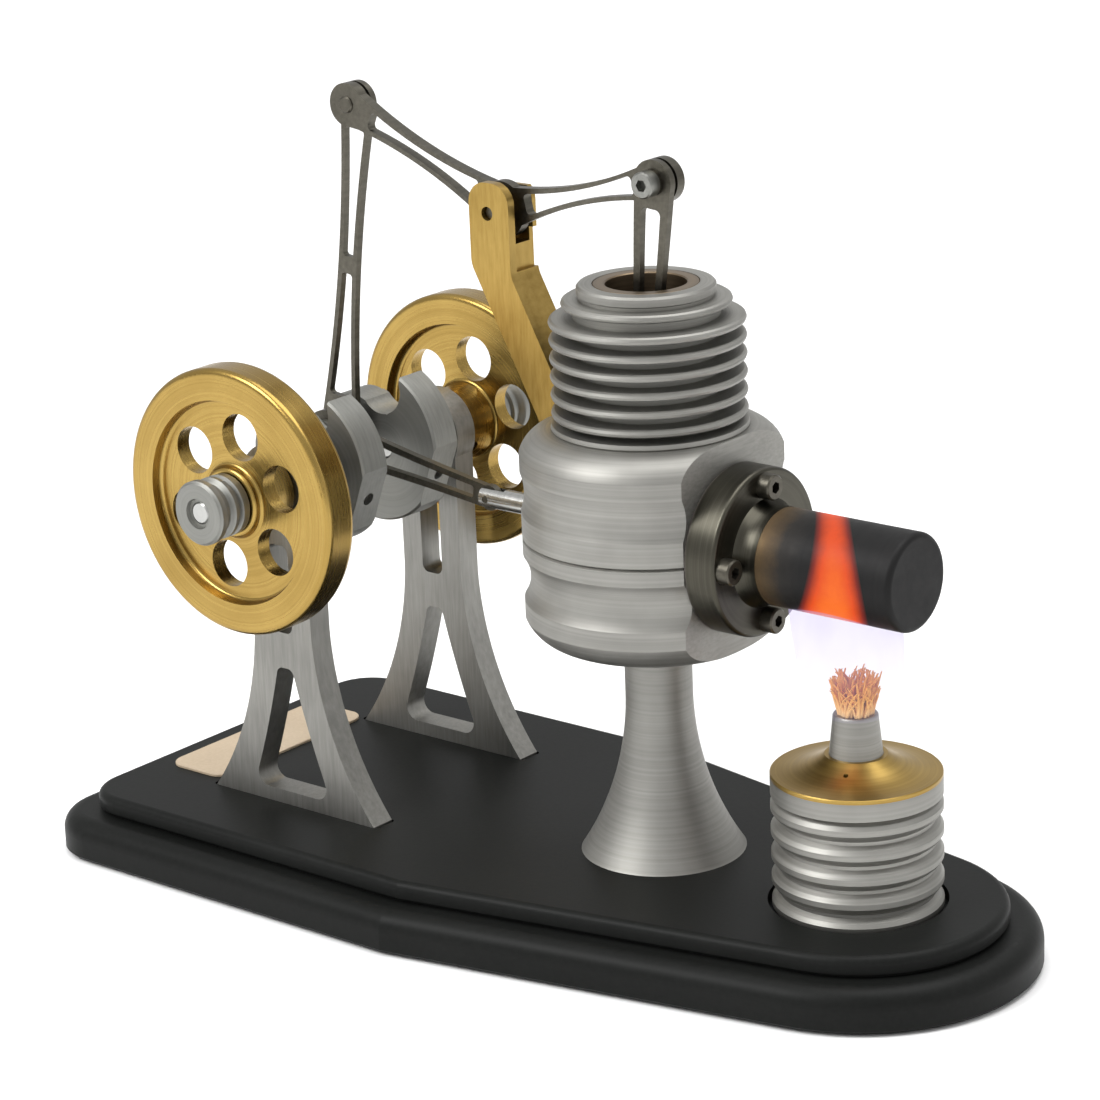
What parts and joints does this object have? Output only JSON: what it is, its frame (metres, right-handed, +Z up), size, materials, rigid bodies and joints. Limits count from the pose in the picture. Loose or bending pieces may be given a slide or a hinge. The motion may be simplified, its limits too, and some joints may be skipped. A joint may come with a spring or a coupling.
{
  "type": "stirling engine model",
  "caption": "Balance-beam hot-air engine on a black base: brass flywheels, crank, rocking beam, finned power cylinder, side displacer tube and ribbed spirit burner.",
  "frame": {"origin": "centre of the base's underside, on the plane the feet stand on", "axes": "+Z up, +X along the base from the flywheels to the burner, +Y across the base towards the far flywheel, parallel to the crankshaft"},
  "size_m": [0.23, 0.112, 0.1748],
  "materials": {
    "black_base": "satin black anodised",
    "rubber": "matte",
    "label": "matte beige, blank",
    "stand_aluminium": "brushed",
    "turned_aluminium": "fine turned satin",
    "web_aluminium": "satin",
    "burner_aluminium": "turned satin",
    "brass": "polished, lightly worn",
    "rod_steel": "ground",
    "screw_steel": "bright",
    "bearing_steel": "polished",
    "liner_steel": "honed",
    "dark_steel": "dark oxide",
    "burnt_steel": "heat-darkened",
    "displacer_steel": "satin",
    "gasket": "matte fibre",
    "piston_iron": "lapped",
    "wick_cotton": "frayed cotton"
  },
  "bodies": {
    "frame": {"base": "black_base", "base_feet": "rubber", "name_plate": "label", "stand_near": "stand_aluminium", "stand_far": "stand_aluminium", "stand_screws": "screw_steel", "bearing_outer_rings": "bearing_steel", "bearing_balls": "bearing_steel", "pedestal": "turned_aluminium", "pedestal_screw": "screw_steel", "pedestal_stud": "screw_steel", "engine_body": "turned_aluminium", "finned_cylinder": "turned_aluminium", "cylinder_liner": "liner_steel", "support_column": "brass", "column_set_screw": "screw_steel", "beam_pivot_pin": "rod_steel", "hot_flange": "dark_steel", "flange_gasket": "gasket", "hot_tube": "burnt_steel", "flange_screws": "screw_steel", "displacer_gland": "brass"},
    "crank": {"crank_shaft_near": "rod_steel", "crank_shaft_far": "rod_steel", "crank_web_near": "web_aluminium", "crank_web_far": "web_aluminium", "web_set_screws": "screw_steel", "crank_pin_stubs": "rod_steel", "shaft_spacers": "turned_aluminium", "bearing_inner_rings": "bearing_steel", "flywheel_near": "brass", "flywheel_far": "brass", "flywheel_set_screws": "screw_steel", "pulley_near": "web_aluminium", "pulley_far": "web_aluminium", "pulley_set_screws": "screw_steel"},
    "beam": {"beam": "rod_steel", "beam_bush": "brass", "beam_rod_pin": "rod_steel", "piston_rod_screw": "screw_steel", "pivot_washers": "rod_steel", "pivot_nut": "rod_steel"},
    "beam_rod": {"beam_rod": "rod_steel", "beam_rod_bearing": "bearing_steel", "beam_rod_journal": "rod_steel"},
    "piston_rod": {"piston_rod": "rod_steel", "wrist_pin": "rod_steel"},
    "piston": {"power_piston": "piston_iron"},
    "displacer": {"displacer": "displacer_steel", "displacer_rod": "rod_steel", "rod_end": "rod_steel", "clevis_pin": "screw_steel"},
    "displacer_link": {"displacer_link": "rod_steel", "link_bearing": "bearing_steel", "link_journal": "rod_steel"},
    "burner": {"burner_can": "burner_aluminium", "burner_cap": "brass", "wick_tube": "turned_aluminium", "wick": "wick_cotton"}
  },
  "joints": [
    {"name": "crank_spin", "type": "hinge", "parent": "frame", "child": "crank", "pos_m": [-0.05905, 0, 0.0896], "axis": [0, 1, 0], "continuous": true},
    {"name": "beam_rock", "type": "hinge", "parent": "frame", "child": "beam", "pos_m": [-0.0139, 0, 0.1513], "axis": [0, -1, 0], "range_deg": [-9.6, 16.1]},
    {"name": "beam_rod_swing", "type": "hinge", "parent": "beam", "child": "beam_rod", "pos_m": [-0.0574, 0, 0.17], "axis": [0, -1, 0], "range_deg": [-13.5, 8.2]},
    {"name": "piston_rod_swing", "type": "hinge", "parent": "beam", "child": "piston_rod", "pos_m": [0.0291, 0, 0.162], "axis": [0, -1, 0], "range_deg": [-11.5, 6.8]},
    {"name": "piston_slide", "type": "slide", "parent": "frame", "child": "piston", "axis": [0, 0, 1], "range_m": [-0.0072, 0.0118]},
    {"name": "displacer_slide", "type": "slide", "parent": "frame", "child": "displacer", "axis": [1, 0, 0], "range_m": [-0.0003, 0.0197]},
    {"name": "displacer_link_swing", "type": "hinge", "parent": "displacer", "child": "displacer_link", "pos_m": [-0.0203, 0, 0.0862], "axis": [0, -1, 0], "range_deg": [-0.2, 4.5]},
    {"name": "burner_lift", "type": "slide", "parent": "frame", "child": "burner", "axis": [0, 0, 1], "range_m": [0, 0.008]}
  ],
  "couplings": [
    {"joint": "beam_rod_swing", "follows": "beam_rock", "ratio": -0.8},
    {"joint": "piston_rod_swing", "follows": "beam_rock", "ratio": -0.685},
    {"joint": "piston_slide", "follows": "beam_rock", "m_per_rad": 0.041},
    {"joint": "displacer_link_swing", "follows": "displacer_slide", "rad_per_m": 3.77}
  ]
}
